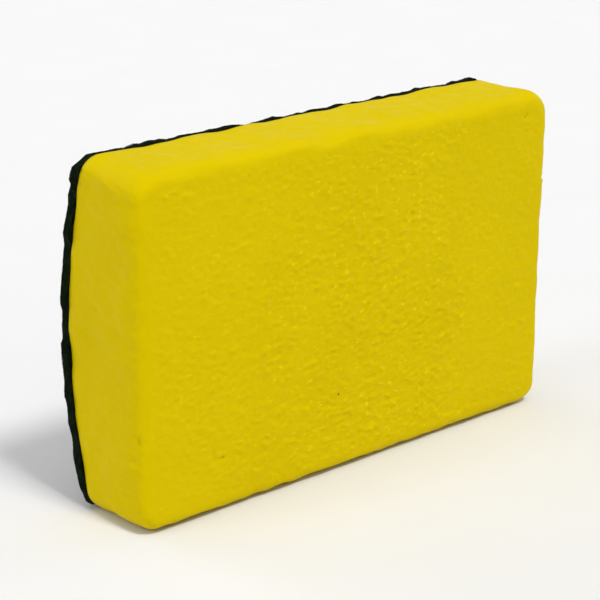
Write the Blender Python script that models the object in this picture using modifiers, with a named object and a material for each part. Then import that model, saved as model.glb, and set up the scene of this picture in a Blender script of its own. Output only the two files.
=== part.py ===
"""Chalkboard eraser, standing on one of its long narrow sides.

A moulded foam block is the grip. Its front is flat with soft rolled edges, and its back bulges.
A film of contact adhesive on the back holds a sheet of felt, which is the side that wipes.

Frame: +X along the length, +Y from the grip towards the felt, +Z up.
The origin is the middle of the overall box, at the surface that the eraser stands on.
Everything is in metres.
"""

import math

import bpy
from mathutils import Matrix

# Foam block
LENGTH = 0.1200  # at the front, where the block is longest
HEIGHT = 0.0760
EDGE_DEPTH = 0.0187  # front to back along the two long edges
CROWN = 0.0062  # how much deeper the block is along the middle of its back
END_DRAFT = 0.0010  # how far each end leans in by the back edge
CORNER_RADIUS = 0.0062  # the four corners, seen from the front
FRONT_ROLL = 0.0040  # the rolled edge all around the front face

# What is bonded to the back
CLEARANCE = 0.0003  # left between neighbours, which touch on the real eraser
FILM_THICKNESS = 0.0002
FILM_INSET = 0.0020  # the film stops short of the foam's outline
FELT_THICKNESS = 0.0020
FELT_INSET = 0.0003  # the felt stays clear of the surface that the eraser stands on
FELT_CORNER_RADIUS = 0.0024

# Worked out from the above
BOND_GAP = 2 * CLEARANCE + FILM_THICKNESS
DEPTH = EDGE_DEPTH + CROWN + BOND_GAP + FELT_THICKNESS
FRONT_Y = -DEPTH / 2
MIDDLE_Z = HEIGHT / 2
BACK_RADIUS = HEIGHT**2 / (8 * CROWN) + CROWN / 2
BACK_AXIS_Y = FRONT_Y + EDGE_DEPTH + CROWN - BACK_RADIUS
BACK_LENGTH = LENGTH - 2 * END_DRAFT

# How finely the round shapes are cut
BACK_FACETS = 288  # around the whole cylinder that shapes the back
CORNER_SEGMENTS = 10
ROLL_SEGMENTS = 8

OVERCUT = 0.004  # how far a cutter reaches past what it cuts

MATERIALS = {
    "foam_yellow": ((0.66, 0.50, 0.005), 0.42),
    "glue_amber": ((0.45, 0.36, 0.14), 0.35),
    "felt_green_black": ((0.010, 0.016, 0.011), 0.95),
}


def empty_the_scene():
    for thing in list(bpy.data.objects):
        bpy.data.objects.remove(thing, do_unlink=True)


def new_collection(name):
    made = bpy.data.collections.new(name)
    bpy.context.scene.collection.children.link(made)
    return made


def make_material(name):
    color, roughness = MATERIALS[name]
    made = bpy.data.materials.new(name)
    made.use_nodes = True
    shader = made.node_tree.nodes["Principled BSDF"]
    shader.inputs["Base Color"].default_value = (*color, 1.0)
    shader.inputs["Roughness"].default_value = roughness
    shader.inputs["Metallic"].default_value = 0.0
    return made


def move_to(thing, collection):
    for holder in list(thing.users_collection):
        holder.objects.unlink(thing)
    collection.objects.link(thing)


def add_block(name, size, center):
    """A box of that size, with its scale applied and the object's origin at its centre."""
    bpy.ops.mesh.primitive_cube_add(size=1.0, location=center)
    block = bpy.context.object
    block.name = name
    block.data.name = name
    block.data.transform(Matrix.Diagonal((*size, 1.0)))
    return block


def add_back_cylinder(name, radius, cutters):
    """A cylinder along X whose far side is the curve of the back, or a curve parallel to it."""
    bpy.ops.mesh.primitive_cylinder_add(
        vertices=BACK_FACETS,
        radius=radius,
        depth=LENGTH + 2 * OVERCUT,
        location=(0.0, BACK_AXIS_Y, MIDDLE_Z),
        rotation=(0.0, math.pi / 2, 0.0),
    )
    cylinder = bpy.context.object
    cylinder.name = name
    cylinder.hide_render = True
    cylinder.display_type = "WIRE"
    move_to(cylinder, cutters)
    return cylinder


def round_corners(block, radius):
    """Rounds the four edges that run front to back."""
    weights = block.data.attributes.new("bevel_weight_edge", "FLOAT", "EDGE")
    for edge in block.data.edges:
        start, end = (block.data.vertices[i].co for i in edge.vertices)
        along = end - start
        weights.data[edge.index].value = float(abs(along.y) > abs(along.x) + abs(along.z))
    bevel = block.modifiers.new("corners", "BEVEL")
    bevel.limit_method = "WEIGHT"
    bevel.width = radius
    bevel.segments = CORNER_SEGMENTS


def roll_front_edges(block, radius):
    """Rounds the outline of the front face, corners and all."""
    front = block.vertex_groups.new(name="front")
    front.add([v.index for v in block.data.vertices if v.co.y < 0], 1.0, "REPLACE")
    bevel = block.modifiers.new("front_roll", "BEVEL")
    bevel.limit_method = "VGROUP"
    bevel.vertex_group = front.name
    bevel.width = radius
    bevel.segments = ROLL_SEGMENTS


def combine(block, cutter, operation):
    cut = block.modifiers.new(cutter.name, "BOOLEAN")
    cut.operation = operation
    cut.solver = "EXACT"
    cut.object = cutter


def finish_piece(piece, material, parts, parent):
    piece.data.materials.append(make_material(material))
    move_to(piece, parts)
    piece.parent = parent


def build_foam_body(parts, cutters, parent):
    depth = EDGE_DEPTH + CROWN + OVERCUT
    center = (0.0, FRONT_Y + depth / 2, MIDDLE_Z)
    foam = add_block("foam_body", (LENGTH, depth, HEIGHT), center)
    lean = END_DRAFT * depth / EDGE_DEPTH
    for vertex in foam.data.vertices:
        if vertex.co.y > 0:
            vertex.co.x -= math.copysign(lean, vertex.co.x)
    round_corners(foam, CORNER_RADIUS)
    roll_front_edges(foam, FRONT_ROLL)
    back = add_back_cylinder("foam_back", BACK_RADIUS, cutters)
    combine(foam, back, "INTERSECT")
    finish_piece(foam, "foam_yellow", parts, parent)


def build_layer(name, inset, corner, stand_off, thickness, material, parts, cutters, parent):
    """A sheet of even thickness that follows the convex back, stand_off away from the foam."""
    reach = CROWN + stand_off + thickness + 2 * OVERCUT
    size = (BACK_LENGTH - 2 * inset, reach, HEIGHT - 2 * inset)
    center = (0.0, FRONT_Y + EDGE_DEPTH - OVERCUT + reach / 2, MIDDLE_Z)
    layer = add_block(name, size, center)
    round_corners(layer, corner)
    inner_radius = BACK_RADIUS + stand_off
    outside = add_back_cylinder(f"{name}_outside", inner_radius + thickness, cutters)
    inside = add_back_cylinder(f"{name}_inside", inner_radius, cutters)
    combine(layer, outside, "INTERSECT")
    combine(layer, inside, "DIFFERENCE")
    finish_piece(layer, material, parts, parent)


def build_eraser():
    parts = new_collection("chalkboard_eraser")
    cutters = new_collection("cutters")
    parent = bpy.data.objects.new("chalkboard_eraser_origin", None)
    parts.objects.link(parent)
    build_foam_body(parts, cutters, parent)
    build_layer(
        name="adhesive_film",
        inset=FILM_INSET,
        corner=CORNER_RADIUS - FILM_INSET,
        stand_off=CLEARANCE,
        thickness=FILM_THICKNESS,
        material="glue_amber",
        parts=parts,
        cutters=cutters,
        parent=parent,
    )
    build_layer(
        name="felt_pad",
        inset=FELT_INSET,
        corner=FELT_CORNER_RADIUS,
        stand_off=BOND_GAP,
        thickness=FELT_THICKNESS,
        material="felt_green_black",
        parts=parts,
        cutters=cutters,
        parent=parent,
    )


empty_the_scene()
build_eraser()
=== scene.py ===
"""Looks for the chalkboard eraser: moulded yellow foam, dark felt, and the glue between them.

Everything is in metres, in the CAD frame: +X along the length, +Y from the foam's front towards the
felt, +Z up. The sizes of the whole come from the CAD nodes. The sizes of the relief are set below.
"""

import math

import bpy
import numpy as np
from mathutils import Euler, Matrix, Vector, noise
from mathutils.bvhtree import BVHTree


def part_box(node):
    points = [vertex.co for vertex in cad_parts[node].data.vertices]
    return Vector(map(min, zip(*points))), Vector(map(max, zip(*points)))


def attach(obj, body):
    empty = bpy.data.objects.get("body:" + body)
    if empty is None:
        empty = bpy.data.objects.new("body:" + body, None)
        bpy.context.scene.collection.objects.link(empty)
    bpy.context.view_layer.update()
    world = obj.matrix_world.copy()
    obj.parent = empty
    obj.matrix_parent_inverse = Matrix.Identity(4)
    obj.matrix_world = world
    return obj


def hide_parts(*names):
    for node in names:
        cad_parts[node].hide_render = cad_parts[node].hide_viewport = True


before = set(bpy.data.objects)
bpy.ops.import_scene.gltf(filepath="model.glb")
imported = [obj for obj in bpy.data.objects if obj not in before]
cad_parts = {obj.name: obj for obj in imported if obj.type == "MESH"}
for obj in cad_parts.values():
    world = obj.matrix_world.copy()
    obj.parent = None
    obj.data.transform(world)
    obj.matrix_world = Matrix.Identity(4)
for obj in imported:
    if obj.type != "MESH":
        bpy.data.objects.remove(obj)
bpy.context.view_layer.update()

MM = 0.001

# ---------------------------------------------------------------- sizes from the CAD nodes
FOAM_LOW, FOAM_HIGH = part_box("foam_body")
HEIGHT = FOAM_HIGH.z - FOAM_LOW.z
MIDDLE_Z = (FOAM_HIGH.z + FOAM_LOW.z) / 2
FRONT_Y = FOAM_LOW.y
FOAM_DEPTH = FOAM_HIGH.y - FOAM_LOW.y  # at mid height, where the back bulges most
END_EXCESS = 0.45 * MM  # how far each end is built beyond the CAD's end
HALF_LENGTH = (FOAM_HIGH.x - FOAM_LOW.x) / 2 + END_EXCESS

# ---------------------------------------------------------------- foam shape
CROWN = 6.2 * MM  # how far the back bulges beyond its two long edges
END_DRAFT = 1.2 * MM  # how far each end leans in between the front and the back edge
TOP_FLARE = 0.2 * MM  # how much taller the block is at its back edge
CORNER_RADIUS = 5.4 * MM  # at the front
BACK_CORNER_RADIUS = 4.6 * MM
# The rolled front edge is narrower and deeper at the two ends than along the top and bottom.
ROLL_WIDTH_END = 3.2 * MM
ROLL_WIDTH_SIDE = 3.8 * MM
ROLL_DEPTH_END = 7.5 * MM
ROLL_DEPTH_SIDE = 5.2 * MM
ROLL_POWER = 3  # 2 would be an ellipse; 3 eases more gently into the flats
EDGE_DEPTH = FOAM_DEPTH - CROWN
BACK_RADIUS = HEIGHT**2 / (8 * CROWN) + CROWN / 2
BACK_AXIS_Y = FRONT_Y + FOAM_DEPTH - BACK_RADIUS

# How finely the foam's skin is meshed
FOAM_ACROSS = 264
FOAM_UP = 252
ROLL_RINGS = 12
SIDE_RINGS = 12
# The foam's back and the felt's glued face are out of sight. Inside a narrow border, they are meshed
# this many times more coarsely.
THINNING = 4  # Skin.thin_out is laid out for 4
THINNING_BORDER = 1.5 * MM

# ---------------------------------------------------------------- felt and glue
GLUE_THICKNESS = 0.12 * MM
GLUE_GAP = 0.01 * MM  # keeps the glue's two faces off the foam and the felt
GLUE_INSET = 1.2 * MM
GLUE_ACROSS = 80
GLUE_UP = 52
FELT_THICKNESS = 2.7 * MM
FELT_END_MARGIN = 0.45 * MM  # brings it about flush with the foam's ends at the back
FELT_HALF_LENGTH = HALF_LENGTH - END_DRAFT + FELT_END_MARGIN
FELT_TOP = HEIGHT
FELT_BOTTOM = 0.3 * MM
FELT_CORNER_RADIUS = 3.6 * MM
# Its edge, from the foam outwards, as (mm inwards, share of the thickness): nearly square, with its
# outer rim worn round.
FELT_EDGE = [(0.05, 0.0), (0.0, 0.12), (0.0, 0.35), (0.0, 0.6), (0.04, 0.8), (0.14, 0.93), (0.34, 1.0)]
FELT_ACROSS = 208
FELT_UP = 136
FIBRE_COUNT = 4800
FIBRE_STEPS = 4
FIBRE_END_SUNK = 0.02 * MM  # how far a fibre's two ends go into the felt

# ---------------------------------------------------------------- camera
CAMERA_AZIMUTH = -42.88  # in degrees, from straight in front of the foam
CAMERA_ELEVATION = 18.15
CAMERA_ROLL = 0.51
CAMERA_DISTANCE = 0.4361
CAMERA_LENS = 121.04  # in mm, like the sensor
SENSOR_WIDTH = 36.0
AIM = Vector((-0.0095, -0.0050, MIDDLE_Z + 0.0002))


# ---------------------------------------------------------------- small maths
def smoothstep(low, high, value):
    t = np.clip((value - low) / (high - low), 0, 1)
    return t * t * (3 - 2 * t)


def noise_field(points, size, seed, octaves=1):
    """Smooth noise from about -1 to 1, with features of about that size, at each point."""
    shift = np.array([17.3, 5.1, 9.7]) * (seed + 1)
    total = np.zeros(len(points))
    for octave in range(octaves):
        scaled = (points / size * 2**octave + shift + 31.7 * octave).tolist()
        total += np.array([noise.noise(p) for p in scaled]) / 2**octave
    return total


def back_y(z, stand_off=0.0):
    """Where the bulging back, or a surface that far outside it, lies at height z."""
    return BACK_AXIS_Y + np.sqrt((BACK_RADIUS + stand_off) ** 2 - (z - MIDDLE_Z) ** 2)


# ---------------------------------------------------------------- mesh building
def outline_side(half_along, half_out, radius, count):
    """One side of a rounded rectangle, from the middle of one corner to the middle of the next.

    Returns points (along, out) and their outward normals."""
    straight = 2 * (half_along - radius)
    arc = radius * math.pi / 4
    run = np.linspace(-straight / 2 - arc, straight / 2 + arc, count, endpoint=False)
    angle = np.sign(run) * np.maximum(np.abs(run) - straight / 2, 0) / radius
    along = np.clip(run, -straight / 2, straight / 2) + radius * np.sin(angle)
    out = half_out - radius + radius * np.cos(angle)
    return np.stack([along, out], 1), np.stack([np.sin(angle), np.cos(angle)], 1)


def rounded_outline(half_x, half_z, radius, across, up):
    """A rounded rectangle of 2 * (across + up) points (x, z), anticlockwise from the lower left."""
    points, normals = [], []
    sides = [(half_x, half_z, across), (half_z, half_x, up)] * 2
    for turn, (along, out, count) in enumerate(sides):
        c, s = round(math.cos(turn * math.pi / 2)), round(math.sin(turn * math.pi / 2))
        for values, store in zip(outline_side(along, out, radius, count), (points, normals)):
            x, z = values[:, 0], -values[:, 1]
            store.append(np.stack([c * x - s * z, s * x + c * z], 1))
    return np.vstack(points), np.vstack(normals)


def filled_grid(loop, across, up):
    """A grid of points that fills a loop of 2 * (across + up) points, blended from its four sides."""
    bottom = loop[: across + 1]
    right = loop[across : across + up + 1]
    top = loop[across + up : 2 * across + up + 1][::-1]
    left = np.vstack([loop[2 * across + up :], loop[:1]])[::-1]
    u = np.linspace(0, 1, across + 1)[None, :, None]
    v = np.linspace(0, 1, up + 1)[:, None, None]
    sides = (1 - v) * bottom + v * top + (1 - u) * left[:, None] + u * right[:, None]
    low = (1 - u) * bottom[0] + u * bottom[-1]
    high = (1 - u) * top[0] + u * top[-1]
    return sides - (1 - v) * low - v * high


def loop_indices(across, up):
    """Row and column, in such a grid, of each point of the loop around it."""
    rows = [0] * across + list(range(up)) + [up] * across + list(range(up, 0, -1))
    columns = list(range(across)) + [across] * up + list(range(across, 0, -1)) + [0] * up
    return rows, columns


class Skin:
    """The points and faces of one closed mesh."""

    def __init__(self):
        self.points = []
        self.faces = []
        self.count = 0

    def add(self, points):
        points = np.asarray(points).reshape(-1, 3)
        self.points.append(points)
        first = self.count
        self.count += len(points)
        return np.arange(first, self.count)

    def band(self, ring, following):
        """Joins a ring to the next one behind it."""
        quads = np.stack([np.roll(ring, -1), ring, following, np.roll(following, -1)], 1)
        self.faces.extend(quads.tolist())

    def bands(self, rings):
        ids = [self.add(ring) for ring in rings]
        for ring, following in zip(ids, ids[1:]):
            self.band(ring, following)
        return ids

    def cap(self, ring, grid, faces_back):
        """Fills a ring with a grid of points whose border is the ring."""
        up, across = grid.shape[0] - 1, grid.shape[1] - 1
        index = np.zeros((up + 1, across + 1), int)
        index[1:-1, 1:-1] = self.add(grid[1:-1, 1:-1]).reshape(up - 1, across - 1)
        index[loop_indices(across, up)] = ring
        corners = [index[:-1, :-1], index[:-1, 1:], index[1:, 1:], index[1:, :-1]]
        quads = np.stack([corner.ravel() for corner in corners], 1)
        self.faces.extend((quads[:, ::-1] if faces_back else quads).tolist())

    def thin_out(self, ring, coarse, faces_back):
        """Joins a ring to one inside it that has a quarter of its points."""
        n = len(coarse)
        for k in range(n):
            f = [int(ring[(THINNING * k + j) % len(ring)]) for j in range(THINNING + 1)]
            c, d = int(coarse[k]), int(coarse[(k + 1) % n])
            fan = [(f[0], f[1], c), (f[1], f[2], c), (f[2], d, c), (f[2], f[3], d), (f[3], f[4], d)]
            self.faces.extend(triangle[::-1] if faces_back else triangle for triangle in fan)

    def close_coarsely(self, ring, flat, across, up, stand_off, faces_back):
        """Fills a ring with a coarse grid along the bulging back, starting from an outline inside it."""
        loop = in_space(flat, back_y(flat[:, 1], stand_off))
        coarse = self.add(loop)
        self.thin_out(ring, coarse, faces_back)
        grid = filled_grid(loop, across, up)
        grid[..., 1] = back_y(grid[..., 2], stand_off)
        self.cap(coarse, grid, faces_back)

    def build(self, name):
        mesh = bpy.data.meshes.new(name)
        mesh.from_pydata(np.vstack(self.points).tolist(), [], self.faces)
        mesh.validate()
        mesh.shade_smooth()
        thing = bpy.data.objects.new(name, mesh)
        bpy.context.scene.collection.objects.link(thing)
        return thing


def read_points(mesh):
    values = np.zeros(len(mesh.vertices) * 3, np.float32)
    mesh.vertices.foreach_get("co", values)
    return values.reshape(-1, 3).astype(float)


def read_normals(mesh):
    values = np.zeros(len(mesh.vertices) * 3, np.float32)
    mesh.vertex_normals.foreach_get("vector", values)
    return values.reshape(-1, 3).astype(float)


def move_points(mesh, points):
    mesh.vertices.foreach_set("co", points.astype(np.float32).ravel())
    mesh.update()


def in_space(plane_points, y):
    """Points (x, z) placed at depth y."""
    return np.stack([plane_points[:, 0], np.broadcast_to(y, len(plane_points)), plane_points[:, 1]], 1)


# ---------------------------------------------------------------- foam
# How high each layer of the skin's relief is
UNDULATION = 0.09 * MM
LUMPS = 0.07 * MM
PEEL_COARSE = 0.12 * MM
PEEL_FINE = 0.17 * MM
GRAIN_ANGLE = math.radians(-28)  # how much the front's streaks rise towards +X
EDGE_WAVER = 0.45 * MM
END_MOTTLE = 0.26 * MM
BOTTOM_NOTCHES = 0.5 * MM
DENT_COUNT = 4200
DENT_DEPTH = 0.42 * MM
DENT_SIZES = (0.35, 0.75)  # from the smallest to the largest, in mm
DENT_NARROWEST = 0.28 * MM
# Small flaws of the moulding: a line from one point (x, depth behind the front, z) to another, its
# half width and its depth, all in mm. One with a depth below 0 stands out instead.
FLAWS = [
    ((-5.8, 0.0, 18.0), (-5.8, 0.0, 18.5), 0.35, 0.30),
    ((52.2, 0.0, 71.0), (52.2, 0.0, 71.5), 0.35, 0.30),
    ((-39.8, 0.0, 12.2), (-38.5, 0.0, 12.5), 0.35, 0.25),
    ((-42.3, 0.0, 15.3), (-41.2, 0.0, 12.4), 0.40, 0.20),
    ((59.2, 0.5, 55.6), (59.6, 1.0, 55.6), 0.50, 0.25),
    ((59.2, 0.5, 54.6), (59.6, 1.0, 54.6), 0.50, -0.20),
    ((-59.9, 1.4, 21.5), (-59.7, 1.3, 20.3), 0.35, 0.30),
    ((-60.0, 12.1, 31.9), (-59.6, 19.9, 32.5), 0.40, 0.10),
]
# Dark spots in some of them, partly dirt and partly painted shade of the hollows: a place and the spot's
# radius, both in mm, and how dark it is
DIRT_AND_PAINTED_SHADE = [
    ((-5.8, 0.0, 18.0), 0.42, 1.0),
    ((52.2, 0.0, 71.0), 0.38, 0.6),
    ((-39.3, 0.0, 12.3), 0.45, 0.3),
    ((-38.6, 0.0, 12.4), 0.40, 0.4),
    ((-59.9, 1.4, 21.2), 0.45, 0.22),
    ((-59.8, 1.3, 20.6), 0.45, 0.25),
]


def foam_outline_at(y, across, up):
    """The foam's outline at depth y behind the front, with its normals, leaving out the roll."""
    flat, normals = rounded_outline(HALF_LENGTH, HEIGHT / 2, CORNER_RADIUS, across, up)
    back, _ = rounded_outline(HALF_LENGTH, HEIGHT / 2, BACK_CORNER_RADIUS, across, up)
    flat += (back - flat) * np.reshape(y / EDGE_DEPTH, (-1, 1))
    lean = END_DRAFT * (y - ROLL_DEPTH_END) / EDGE_DEPTH
    flat[:, 0] -= lean * normals[:, 0] ** 2 * np.sign(normals[:, 0])
    flat[:, 1] += MIDDLE_Z + TOP_FLARE * y / EDGE_DEPTH * np.maximum(normals[:, 1], 0) ** 2
    return flat, normals


def make_foam():
    skin = Skin()
    flat, normals = foam_outline_at(0, FOAM_ACROSS, FOAM_UP)
    end_share = normals[:, 0] ** 2
    width = ROLL_WIDTH_END * end_share + ROLL_WIDTH_SIDE * (1 - end_share)
    depth = ROLL_DEPTH_END * end_share + ROLL_DEPTH_SIDE * (1 - end_share)
    rings = []
    for share in smoothstep(0, 1, np.linspace(0, 1, ROLL_RINGS + 1)):
        angle = share * math.pi / 2
        y = depth * (1 - math.cos(angle) ** (2 / ROLL_POWER))
        flat, _ = foam_outline_at(y, FOAM_ACROSS, FOAM_UP)
        inward = (width * (1 - math.sin(angle) ** (2 / ROLL_POWER)))[:, None] * normals
        rings.append(in_space(flat - inward, FRONT_Y + y))
    for share in np.linspace(0, 1, SIDE_RINGS + 1)[1:]:
        end_y = back_y(flat[:, 1]) - FRONT_Y
        y = depth + (end_y - depth) * share
        flat, _ = foam_outline_at(y, FOAM_ACROSS, FOAM_UP)
        rings.append(in_space(flat, FRONT_Y + y))
    ids = skin.bands(rings)
    skin.cap(ids[0], filled_grid(rings[0], FOAM_ACROSS, FOAM_UP), faces_back=False)
    across, up = FOAM_ACROSS // THINNING, FOAM_UP // THINNING
    inner, inner_normals = foam_outline_at(EDGE_DEPTH, across, up)
    inner -= inner_normals * THINNING_BORDER
    skin.close_coarsely(ids[-1], inner, across, up, 0.0, faces_back=True)
    foam = skin.build("foam_block")
    add_foam_relief(foam.data)
    return foam


def texture_strength(points):
    """How rough the front is: most right of the middle, and less towards its other parts."""
    x, z = points[:, 0], points[:, 2]
    rise = 0.58 + 0.42 * smoothstep(-50 * MM, 25 * MM, x)
    fall = 1 - 0.5 * smoothstep(15 * MM, 44 * MM, x)
    high = 1 - 0.12 * smoothstep(45 * MM, 70 * MM, z)
    patches = 1 + 0.3 * noise_field(points, 14 * MM, 3)
    lower_left = smoothstep(-32 * MM, -50 * MM, x) * smoothstep(22 * MM, 8 * MM, z)
    end_fade = smoothstep(1.5 * MM, 7 * MM, HALF_LENGTH - np.abs(x))
    long_fade = smoothstep(1 * MM, 5 * MM, HEIGHT / 2 - np.abs(z - MIDDLE_Z))
    roughness = np.minimum(rise * fall * high * patches * (1 - 0.5 * lower_left), 1.1)
    return roughness * (0.25 + 0.75 * end_fade) * (0.35 + 0.65 * long_fade)


def streaked(points, stretch):
    """Points squeezed along the grain, so that noise read from them is drawn out along it."""
    c, s = math.cos(GRAIN_ANGLE), math.sin(GRAIN_ANGLE)
    along = (points[:, 0] * c + points[:, 2] * s) / stretch
    over = points[:, 2] * c - points[:, 0] * s
    return np.stack([along, points[:, 1], over], 1)


def peel(points, size, stretch, seed):
    """Noise along the grain whose upper slopes are steeper than its lower ones."""
    points = streaked(points, stretch)
    first = noise_field(points, size, seed)
    shifted = points - np.array([0, 0, 1]) * (0.4 * size * first)[:, None]
    return noise_field(shifted, size, seed)


def dents(points, strength):
    """Shallow dents, each with a steep lower wall and a lip below it, which catches the light."""
    rng = np.random.default_rng(11)
    height = np.zeros(len(points))
    x, z = points[:, 0], points[:, 2]
    for _ in range(DENT_COUNT):
        center_x = rng.uniform(-HALF_LENGTH, HALF_LENGTH)
        center_z = rng.uniform(0, HEIGHT)
        long_size = rng.uniform(*DENT_SIZES) * MM
        short_size = max(long_size * rng.uniform(0.5, 0.9), DENT_NARROWEST)
        angle = math.radians(rng.normal(2, 34))
        depth = DENT_DEPTH * rng.uniform(0.1, 1.0) ** 1.5
        reach = 4 * long_size
        near = np.flatnonzero((np.abs(x - center_x) < reach) & (np.abs(z - center_z) < reach))
        along = (x[near] - center_x) * math.cos(angle) + (z[near] - center_z) * math.sin(angle)
        over = (z[near] - center_z) * math.cos(angle) - (x[near] - center_x) * math.sin(angle)
        # The hollow lies 1.1 times the short size above the centre, and the lip 0.4 times below it.
        spread = (along / long_size) ** 2
        hollow = np.exp(-spread - ((over - 1.1 * short_size) / (1.5 * short_size)) ** 2)
        past_lip = over + 0.4 * short_size
        lip_width = np.where(past_lip > 0, 0.7, 1.8) * short_size
        lip = np.exp(-spread - (past_lip / lip_width) ** 2)
        height[near] += depth * (lip - 0.5 * hollow)
    return height * strength


def nearest(points, place):
    return points[np.argmin(np.linalg.norm(points - place, axis=1))]


def in_frame(place):
    """A place in the lists above (x, depth behind the front, z), in metres in the CAD frame."""
    return np.array(place) * MM + [0, FRONT_Y, 0]


def flaw_depth(points):
    """How deep the small flaws go at each point."""
    total = np.zeros(len(points))
    for start, end, half_width, depth in FLAWS:
        start, end = (nearest(points, in_frame(place)) for place in (start, end))
        run = end - start
        share = np.clip((points - start) @ run / (run @ run), 0, 1)
        away = np.linalg.norm(points - start - share[:, None] * run, axis=1)
        total += depth * MM * np.exp(-((away / (half_width * MM)) ** 2))
    return total


def add_foam_relief(mesh):
    points, normals = read_points(mesh), read_normals(mesh)
    front = smoothstep(0.86, 0.985, -normals[:, 1])
    strength = front * texture_strength(points)
    ends = smoothstep(0.85, 0.98, np.abs(normals[:, 0]))
    grain = 0.15 + 0.85 * strength + 0.35 * ends
    # The material reads this for its bump strength and for where it paints highlights.
    mesh.attributes.new("grain", "FLOAT", "POINT").data.foreach_set("value", grain)
    relief = UNDULATION * noise_field(points, 24 * MM, 0)
    relief += LUMPS * noise_field(points, 5.0 * MM, 1) * (0.6 + 0.4 * strength)
    relief += PEEL_COARSE * peel(points, 1.8 * MM, 1.4, 2) * (0.2 + 0.8 * strength)
    relief += PEEL_FINE * peel(points, 0.9 * MM, 1.2, 12) * (0.12 + 0.88 * strength)
    relief += END_MOTTLE * noise_field(points, 1.6 * MM, 18) * ends
    on_front = np.flatnonzero(front > 0)
    relief[on_front] += dents(points[on_front], strength[on_front])
    relief -= flaw_depth(points)
    # The outline wavers a little. The side that the block stands on only wavers inwards.
    side = (1 - front) * (np.abs(normals[:, 1]) < 0.95)
    relief += EDGE_WAVER * noise_field(points, 9 * MM, 5, octaves=2) * side
    resting = smoothstep(0.3, 0.9, -normals[:, 2])
    notches = BOTTOM_NOTCHES * np.abs(noise_field(points, 6 * MM, 15))
    relief = relief * (1 - resting) - (np.abs(relief) + notches) * resting
    points += normals * relief[:, None]
    points[:, 2] = np.maximum(points[:, 2], 0)
    move_points(mesh, points)


# ---------------------------------------------------------------- felt and glue
def layer_outline(inset, radius, across, up):
    """The felt's outline (x, z), or one inside it, with its normals."""
    half_height = (FELT_TOP - FELT_BOTTOM) / 2 - inset
    flat, normals = rounded_outline(FELT_HALF_LENGTH - inset, half_height, radius, across, up)
    flat[:, 1] += (FELT_TOP + FELT_BOTTOM) / 2
    return flat, normals


def snipped(flat, normals, rng, step, amount):
    """An outline cut in straight snips of about that length, as scissors leave it."""
    run = np.concatenate([[0], np.cumsum(np.linalg.norm(np.diff(flat, axis=0), axis=1))])
    around = run[-1] + np.linalg.norm(flat[0] - flat[-1])
    knots = np.cumsum(rng.uniform(0.4, 1.6, int(2 * around / step)) * step)
    knots = np.concatenate([[0], knots[knots < around - 0.4 * step]])
    at_knot = np.rint(np.interp(knots, run, np.arange(len(run)))).astype(int)
    corners = flat[at_knot] + normals[at_knot] * rng.uniform(-amount, amount, len(knots))[:, None]
    cut = [np.interp(run, run[at_knot], values, period=around) for values in corners.T]
    cut = np.stack(cut, 1)
    cut[:, 1] = np.maximum(cut[:, 1], 0.1 * MM)
    return cut


def make_felt():
    rng = np.random.default_rng(4)
    skin = Skin()
    flat, normals = layer_outline(0, FELT_CORNER_RADIUS, FELT_ACROSS, FELT_UP)
    flat = snipped(flat, normals, rng, 2.6 * MM, 0.36 * MM)
    rings = []
    for inward, share in FELT_EDGE:
        ring = flat - normals * inward * MM
        stand_off = GLUE_THICKNESS + FELT_THICKNESS * share
        rings.append(in_space(ring, back_y(ring[:, 1], stand_off)))
    ids = skin.bands(rings)
    grid = filled_grid(rings[-1], FELT_ACROSS, FELT_UP)
    grid[..., 1] = back_y(grid[..., 2], GLUE_THICKNESS + FELT_THICKNESS)
    skin.cap(ids[-1], grid, faces_back=True)
    across, up = FELT_ACROSS // THINNING, FELT_UP // THINNING
    inner, _ = layer_outline(THINNING_BORDER, FELT_CORNER_RADIUS, across, up)
    skin.close_coarsely(ids[0], inner, across, up, GLUE_THICKNESS, faces_back=False)
    felt = skin.build("felt_sheet")
    add_felt_relief(felt.data)
    return felt


def add_felt_relief(mesh):
    """The felt's uneven surface, on every side but the one that is glued down."""
    points, normals = read_points(mesh), read_normals(mesh)
    off_foam = smoothstep(0.0, 0.4 * MM, points[:, 1] - back_y(points[:, 2], GLUE_THICKNESS))
    relief = 0.12 * MM * noise_field(points, 12 * MM, 6)
    relief += 0.10 * MM * noise_field(points, 2.4 * MM, 7, octaves=2)
    relief += 0.05 * MM * noise_field(points, 0.9 * MM, 8)
    points += normals * (relief * off_foam)[:, None]
    points[:, 2] = np.maximum(points[:, 2], 0.05 * MM)
    move_points(mesh, points)


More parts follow.
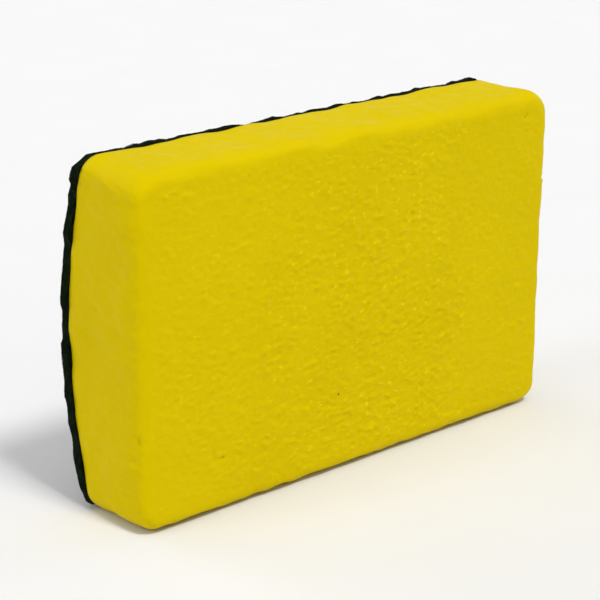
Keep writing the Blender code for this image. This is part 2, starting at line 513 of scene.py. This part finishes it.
def make_fibres(felt):
    """Loose wool fibres that lie on the felt, as thin three-sided tubes."""
    rng = np.random.default_rng(21)
    tree = BVHTree.FromObject(felt, bpy.context.evaluated_depsgraph_get())
    outer = GLUE_THICKNESS + 0.25 * FELT_THICKNESS
    starts, normals = read_points(felt.data), read_normals(felt.data)
    chosen = rng.permutation(np.flatnonzero(starts[:, 1] > back_y(starts[:, 2], outer)))[:FIBRE_COUNT]
    skin = Skin()
    for start, normal in zip(starts[chosen], normals[chosen]):
        point, normal = Vector(start), Vector(normal)
        heading = Vector(rng.normal(size=3))
        turn = rng.normal(0, 0.5)
        step = rng.uniform(0.6, 1.6) * MM
        lift = rng.uniform(0.02, 0.12) * MM
        radius = rng.uniform(0.026, 0.045) * MM
        rings = []
        for share in np.linspace(0, 1, FIBRE_STEPS + 1):
            heading = (heading - normal * heading.dot(normal)).normalized()
            side = normal.cross(heading)
            sunk = FIBRE_END_SUNK if share in (0, 1) else 0
            middle = point + normal * (lift * math.sin(math.pi * share) - sunk)
            width = radius * (0.5 + 0.5 * math.sin(math.pi * share))
            spokes = (normal, -0.5 * normal + 0.87 * side, -0.5 * normal - 0.87 * side)
            rings.append([middle + spoke * width for spoke in spokes])
            heading = heading + side * turn
            point, normal, _, _ = tree.find_nearest(point + heading.normalized() * step)
        ids = skin.bands(rings)
        skin.faces.append(ids[0].tolist())
        skin.faces.append(ids[-1][::-1].tolist())
    fibres = skin.build("felt_fibres")
    points = read_points(fibres.data)
    points[:, 2] = np.maximum(points[:, 2], 0.02 * MM)
    move_points(fibres.data, points)
    return fibres


def make_glue():
    rng = np.random.default_rng(9)
    flat, normals = layer_outline(GLUE_INSET, FELT_CORNER_RADIUS, GLUE_ACROSS, GLUE_UP)
    flat = snipped(flat, normals, rng, 7 * MM, 0.5 * MM)
    stand_offs = (GLUE_GAP, GLUE_THICKNESS - GLUE_GAP)
    rings = [in_space(flat, back_y(flat[:, 1], stand_off)) for stand_off in stand_offs]
    skin = Skin()
    ids = skin.bands(rings)
    for ring, ids_of_ring, stand_off, faces_back in zip(rings, ids, stand_offs, (False, True)):
        grid = filled_grid(ring, GLUE_ACROSS, GLUE_UP)
        grid[..., 1] = back_y(grid[..., 2], stand_off)
        skin.cap(ids_of_ring, grid, faces_back)
    return skin.build("glue_layer")


foam = make_foam()
felt = make_felt()
glue = make_glue()
fibres = make_fibres(felt)


# ---------------------------------------------------------------- materials
def smooth_range(tree, value, start, end, low, high):
    """Turns a value between start and end into one between low and high, smoothly."""
    spread = tree.nodes.new("ShaderNodeMapRange")
    spread.interpolation_type = "SMOOTHSTEP"
    for socket, number in zip(("From Min", "From Max", "To Min", "To Max"), (start, end, low, high)):
        spread.inputs[socket].default_value = number
    tree.links.new(value, spread.inputs["Value"])
    return spread.outputs["Result"]


class Recipe:
    """A material under construction, with short calls for the nodes used here."""

    def __init__(self, name, **constants):
        self.material = bpy.data.materials.new(name)
        self.material.use_nodes = True
        self.tree = self.material.node_tree
        self.nodes, self.links = self.tree.nodes, self.tree.links
        self.shader = self.nodes["Principled BSDF"]
        self.place = self.nodes.new("ShaderNodeTexCoord").outputs["Object"]
        for socket, value in constants.items():
            self.shader.inputs[socket.replace("_", " ")].default_value = value

    def noise(self, size, detail=2.0, stretch=(1, 1, 1)):
        """Noise from 0 to 1 with features of about that size, drawn out along the axes by stretch."""
        place = self.nodes.new("ShaderNodeMapping")
        place.inputs["Scale"].default_value = [1 / s for s in stretch]
        self.links.new(self.place, place.inputs["Vector"])
        texture = self.nodes.new("ShaderNodeTexNoise")
        texture.inputs["Scale"].default_value = 1 / size
        texture.inputs["Detail"].default_value = detail
        self.links.new(place.outputs["Vector"], texture.inputs["Vector"])
        return texture.outputs["Fac"]

    def mean(self, first, second, share):
        """A blend of two values, with that share of the second."""
        blend = self.nodes.new("ShaderNodeMix")
        blend.inputs["Factor"].default_value = share
        self.links.new(first, blend.inputs["A"])
        self.links.new(second, blend.inputs["B"])
        return blend.outputs["Result"]

    def color(self, value, stops):
        """Colours the surface by a value from 0 to 1, with stops of (value, colour)."""
        ramp = self.nodes.new("ShaderNodeValToRGB")
        while len(ramp.color_ramp.elements) < len(stops):
            ramp.color_ramp.elements.new(0.5)
        for element, (position, shade) in zip(ramp.color_ramp.elements, stops):
            element.position = position
            element.color = (*shade, 1)
        self.links.new(value, ramp.inputs["Fac"])
        self.links.new(ramp.outputs["Color"], self.shader.inputs["Base Color"])

    def roughness(self, value, low, high):
        self.links.new(self.remap(value, 0.3, 0.7, low, high), self.shader.inputs["Roughness"])

    def remap(self, value, start, end, low, high):
        return smooth_range(self.tree, value, start, end, low, high)

    def product(self, first, second):
        times = self.nodes.new("ShaderNodeMath")
        times.operation = "MULTIPLY"
        self.links.new(first, times.inputs[0])
        self.links.new(second, times.inputs[1])
        return times.outputs["Value"]

    def spot(self, center, radius, peak):
        """One soft spot, from 0 at its rim to the peak."""
        away = self.nodes.new("ShaderNodeVectorMath")
        away.operation = "DISTANCE"
        away.inputs[1].default_value = center
        self.links.new(self.place, away.inputs[0])
        return self.remap(away.outputs["Value"], 0.3 * radius, radius, peak, 0)

    def tint(self, amount, shade):
        """Mixes another colour into the surface's, by an amount from 0 to 1."""
        base = self.shader.inputs["Base Color"]
        blend = self.nodes.new("ShaderNodeMixRGB")
        blend.inputs["Color2"].default_value = (*shade, 1)
        self.links.new(amount, blend.inputs["Fac"])
        self.links.new(base.links[0].from_socket, blend.inputs["Color1"])
        self.links.new(blend.outputs["Color"], base)

    def mesh_value(self, name):
        """A value that the mesh holds at each point."""
        attribute = self.nodes.new("ShaderNodeAttribute")
        attribute.attribute_name = name
        return attribute.outputs["Fac"]

    def bump(self, *layers, strength=None):
        """Fine relief: each layer is a height from 0 to 1 and the distance that it stands for."""
        normal = None
        for height, distance in layers:
            bump = self.nodes.new("ShaderNodeBump")
            bump.inputs["Distance"].default_value = distance
            self.links.new(height, bump.inputs["Height"])
            if strength:
                self.links.new(strength, bump.inputs["Strength"])
            if normal:
                self.links.new(normal, bump.inputs["Normal"])
            normal = bump.outputs["Normal"]
        self.links.new(normal, self.shader.inputs["Normal"])


def foam_material(mesh):
    """Dull moulded EVA foam with a closed skin: nearly no gloss, very slight clouding, pale specks painted
    in as highlights, and dark spots at some flaws, partly dirt and partly painted shade.
    """
    foam = Recipe("eva_foam_yellow", Specular_IOR_Level=0.03, Specular_Tint=(1, 0.8, 0.1, 1))
    cloud = foam.mean(foam.noise(22 * MM), foam.noise(1.6 * MM), 0.35)
    shades = [(0.3, (0.635, 0.480, 0.0006)), (0.5, (0.66, 0.50, 0.0008)), (0.7, (0.675, 0.515, 0.0012))]
    foam.color(cloud, shades)
    foam.roughness(foam.noise(2.5 * MM), 0.45, 0.65)
    strength = foam.mesh_value("grain")
    wisps_and_painted_highlights = foam.remap(foam.noise(1.0 * MM, 2.0, (1.7, 1, 1)), 0.57, 0.80, 0, 1)
    # Painted highlights: pale yellow specks mixed into the colour along the wisps, most where the front's
    # texture is strongest.
    foam.tint(foam.product(wisps_and_painted_highlights, foam.remap(strength, 0.3, 1.0, 0, 1)), (0.83, 0.66, 0.008))
    points = read_points(mesh)
    # Dark spots at some flaws: partly dirt, partly painted shade in their hollows.
    for place, radius, darkness in DIRT_AND_PAINTED_SHADE:
        spot = foam.spot(nearest(points, in_frame(place)), radius * MM, darkness)
        foam.tint(spot, (0.12, 0.08, 0.002))
    grain = foam.noise(0.6 * MM, 2.0, (1.2, 1, 1))
    foam.bump((wisps_and_painted_highlights, 0.08 * MM), (grain, 0.12 * MM), strength=strength)
    return foam.material


def felt_material():
    """Pressed wool felt, nearly black, of green and grey fibres."""
    felt = Recipe("wool_felt_dark", Specular_IOR_Level=0.01, Sheen_Weight=0.03, Sheen_Roughness=0.6,
                  Sheen_Tint=(0.1, 0.16, 0.1, 1))
    tangle = felt.mean(felt.noise(0.5 * MM, 4.0, (3, 1, 1)), felt.noise(0.5 * MM, 4.0, (1, 1, 3)), 0.5)
    mottle = felt.mean(felt.noise(4 * MM), tangle, 0.7)
    shades = [
        (0.36, (0.001, 0.003, 0.0005)),
        (0.5, (0.004, 0.008, 0.0026)),
        (0.66, (0.013, 0.019, 0.0115)),
    ]
    felt.color(mottle, shades)
    felt.roughness(tangle, 0.85, 1.0)
    felt.bump((felt.noise(1.5 * MM), 0.12 * MM), (tangle, 0.15 * MM))
    return felt.material


def fibre_material():
    """Single wool fibres, a little paler than the felt that they lie on."""
    wool = Recipe("wool_fibre", Specular_IOR_Level=0.05)
    shades = [(0.35, (0.006, 0.011, 0.006)), (0.5, (0.016, 0.024, 0.015)), (0.65, (0.055, 0.065, 0.055))]
    wool.color(wool.noise(3 * MM), shades)
    wool.roughness(wool.noise(1 * MM), 0.7, 0.9)
    return wool.material


def glue_material():
    """Dried contact adhesive, amber and slightly glossy."""
    glue = Recipe("contact_adhesive", Specular_IOR_Level=0.4)
    glue.color(glue.noise(5 * MM, 3.0), [(0.3, (0.30, 0.22, 0.07)), (0.7, (0.48, 0.38, 0.15))])
    glue.roughness(glue.noise(2 * MM), 0.3, 0.5)
    glue.bump((glue.noise(1.2 * MM), 0.05 * MM))
    return glue.material


def floor_material():
    """Matt white studio paper."""
    paper = Recipe("studio_paper", Specular_IOR_Level=0.0)
    paper.color(paper.noise(30 * MM), [(0.3, (0.795, 0.795, 0.795)), (0.7, (0.805, 0.805, 0.805))])
    paper.roughness(paper.noise(30 * MM), 0.9, 0.95)
    return paper.material


foam.data.materials.append(foam_material(foam.data))
felt.data.materials.append(felt_material())
glue.data.materials.append(glue_material())
fibres.data.materials.append(fibre_material())
stand_ins = [(foam, "foam_body", "foam"), (felt, "felt_pad", "felt"), (glue, "adhesive_film", "glue")]
for piece, node, slot in stand_ins:
    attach(piece, "root")
    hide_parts(node)
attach(fibres, "root")


# ---------------------------------------------------------------- stage, light, camera
BAND_STRENGTH = 0.96
BAND_RISE = (0.11, 0.18)  # it fades between these upward parts of a unit direction


def add_floor():
    bpy.ops.mesh.primitive_plane_add(size=6.0, location=(0, 0, 0))
    floor = bpy.context.object
    floor.name = "floor"
    floor.data.materials.append(floor_material())


def add_world(strength):
    """Even pale light from all round, and a narrow white band along the horizon as a backdrop."""
    world = bpy.data.worlds.new("studio")
    bpy.context.scene.world = world
    world.use_nodes = True
    nodes, links = world.node_tree.nodes, world.node_tree.links
    background = nodes["Background"]
    background.inputs["Color"].default_value = (1, 1, 1, 1)
    direction = nodes.new("ShaderNodeSeparateXYZ")
    links.new(nodes.new("ShaderNodeTexCoord").outputs["Generated"], direction.inputs["Vector"])
    band = smooth_range(world.node_tree, direction.outputs["Z"], *BAND_RISE, BAND_STRENGTH, strength)
    links.new(band, background.inputs["Strength"])


def add_sun(name, toward, angle, strength):
    """A far soft light that shines from that direction."""
    light = bpy.data.lights.new(name, "SUN")
    light.angle = math.radians(angle)
    light.energy = strength
    thing = bpy.data.objects.new(name, light)
    bpy.context.scene.collection.objects.link(thing)
    thing.rotation_euler = Vector(toward).to_track_quat("Z", "Y").to_euler()


def add_camera():
    azimuth, elevation = math.radians(CAMERA_AZIMUTH), math.radians(CAMERA_ELEVATION)
    level_run = math.cos(elevation)
    forward = Vector((-math.sin(azimuth) * level_run, math.cos(azimuth) * level_run, -math.sin(elevation)))
    data = bpy.data.cameras.new("camera")
    data.lens = CAMERA_LENS
    data.sensor_width = SENSOR_WIDTH
    data.clip_start = 0.01
    camera = bpy.data.objects.new("camera", data)
    bpy.context.scene.collection.objects.link(camera)
    camera.location = AIM - forward * CAMERA_DISTANCE
    level = forward.to_track_quat("-Z", "Y").to_matrix()
    roll = Euler((0, 0, math.radians(CAMERA_ROLL))).to_matrix()
    camera.rotation_euler = (level @ roll).to_euler()
    bpy.context.scene.camera = camera


add_floor()
add_world(0.4)
add_sun("top_light", (0, 0, 1), 40, 0.38)
add_sun("key", (0, -0.5, 0.86), 12, 1.75)
add_sun("left_fill", (-1, 0.2, 0.6), 30, 0.5)
add_sun("right_fill", (1, 0, 0.25), 30, 0.4)
add_sun("back_fill", (-0.2, 1, 0.4), 30, 0.5)
add_camera()
bpy.context.scene.view_settings.view_transform = "Standard"
